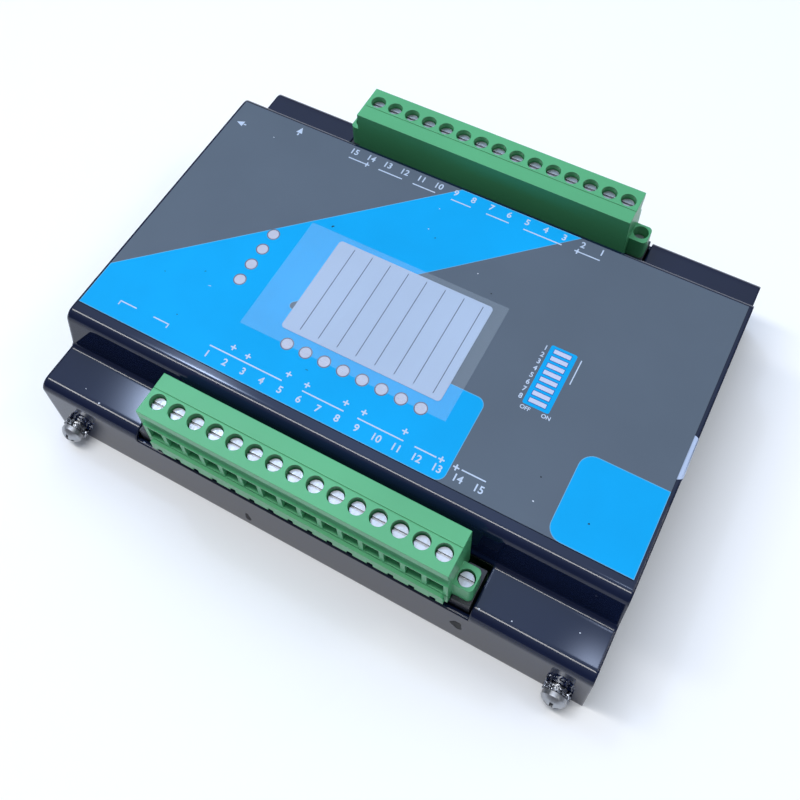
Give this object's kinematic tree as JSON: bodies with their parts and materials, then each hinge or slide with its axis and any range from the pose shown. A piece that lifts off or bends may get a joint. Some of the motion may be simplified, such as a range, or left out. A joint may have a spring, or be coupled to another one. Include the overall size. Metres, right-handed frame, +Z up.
{
  "type": "protection relay",
  "caption": "Flat protection relay in a stepped gloss-black case with green pluggable screw terminals along both long ledges and a printed face panel.",
  "frame": {"origin": "middle of the underside, on the surface the case stands on", "axes": "+X along the terminal rows, +Y from the front row to the rear row, +Z up out of the face"},
  "size_m": [0.1442, 0.1182, 0.038],
  "materials": {
    "case_black": "thick gloss black coat on sheet steel",
    "screw_steel": "bright zinc-plated steel",
    "washer_steel": "zinc-plated spring steel",
    "panel_film": "satin printed polyester film, grey and blue fields",
    "card_white": "plain white card with thin ruled lines",
    "film_clear": "thin clear adhesive film",
    "guide_clear": "frosted clear acrylic",
    "board_green": "glass-epoxy board with green solder mask",
    "brass": "plain turned brass",
    "lamp_pale": "pale lamp resin",
    "header_black": "moulded black nylon",
    "contact_tin": "tin-plated copper alloy",
    "plug_green": "moulded green nylon, satin",
    "switch_blue": "moulded blue plastic",
    "slider_white": "moulded white plastic",
    "button_black": "moulded black plastic",
    "relay_plastic": "moulded relay case",
    "ferrite": "sintered ferrite",
    "copper": "enamelled copper winding",
    "capacitor_sleeve": "printed shrink sleeve",
    "chip_black": "moulded epoxy",
    "coupler_white": "moulded white epoxy"
  },
  "bodies": {
    "case": {"cover": "case_black", "base_plate": "case_black", "cover_screws": "screw_steel", "lock_washers": "washer_steel", "face_panel": "panel_film", "marking_card": "card_white", "clear_film": "film_clear", "light_guides": "guide_clear", "main_board": "board_green", "board_standoffs": "brass", "board_screws": "screw_steel", "indicator_lamps": "lamp_pale", "front_header": "header_black", "rear_header": "header_black", "front_header_pins": "contact_tin", "rear_header_pins": "contact_tin", "front_thread_inserts": "brass", "rear_thread_inserts": "brass", "code_switch_housing": "switch_blue", "set_switch_body": "header_black", "trip_relays": "relay_plastic", "transformer_core": "ferrite", "transformer_bobbin": "header_black", "transformer_winding": "copper", "power_capacitors": "capacitor_sleeve", "processor_chip": "chip_black", "input_couplers": "coupler_white"},
    "front_terminal_plug": {"front_plug": "plug_green", "front_clamp_screws": "screw_steel", "front_clamp_cages": "contact_tin", "front_contacts": "contact_tin", "front_flange_screws": "screw_steel"},
    "rear_terminal_plug": {"rear_plug": "plug_green", "rear_clamp_screws": "screw_steel", "rear_clamp_cages": "contact_tin", "rear_contacts": "contact_tin", "rear_flange_screws": "screw_steel"},
    "code_slider_1": {"code_slider_1": "slider_white"},
    "code_slider_2": {"code_slider_2": "slider_white"},
    "code_slider_3": {"code_slider_3": "slider_white"},
    "code_slider_4": {"code_slider_4": "slider_white"},
    "code_slider_5": {"code_slider_5": "slider_white"},
    "code_slider_6": {"code_slider_6": "slider_white"},
    "code_slider_7": {"code_slider_7": "slider_white"},
    "code_slider_8": {"code_slider_8": "slider_white"},
    "set_button": {"set_button": "button_black"}
  },
  "joints": [
    {"name": "front_plug_pull", "type": "slide", "parent": "case", "child": "front_terminal_plug", "axis": [0, 0, 1], "range_m": [0, 0.012]},
    {"name": "rear_plug_pull", "type": "slide", "parent": "case", "child": "rear_terminal_plug", "axis": [0, 0, 1], "range_m": [0, 0.012]},
    {"name": "code_slider_1_slide", "type": "slide", "parent": "case", "child": "code_slider_1", "axis": [0, 0, 1], "range_m": [0, 0.002]},
    {"name": "code_slider_2_slide", "type": "slide", "parent": "case", "child": "code_slider_2", "axis": [0, 0, 1], "range_m": [0, 0.002]},
    {"name": "code_slider_3_slide", "type": "slide", "parent": "case", "child": "code_slider_3", "axis": [0, 0, 1], "range_m": [0, 0.002]},
    {"name": "code_slider_4_slide", "type": "slide", "parent": "case", "child": "code_slider_4", "axis": [0, 0, 1], "range_m": [0, 0.002]},
    {"name": "code_slider_5_slide", "type": "slide", "parent": "case", "child": "code_slider_5", "axis": [0, 0, 1], "range_m": [0, 0.002]},
    {"name": "code_slider_6_slide", "type": "slide", "parent": "case", "child": "code_slider_6", "axis": [0, 0, 1], "range_m": [0, 0.002]},
    {"name": "code_slider_7_slide", "type": "slide", "parent": "case", "child": "code_slider_7", "axis": [0, 0, 1], "range_m": [0, 0.002]},
    {"name": "code_slider_8_slide", "type": "slide", "parent": "case", "child": "code_slider_8", "axis": [0, 0, 1], "range_m": [0, 0.002]},
    {"name": "set_button_press", "type": "slide", "parent": "case", "child": "set_button", "axis": [0, -1, 0], "range_m": [0, 0.0004], "stiffness_N_per_m": 1500}
  ]
}
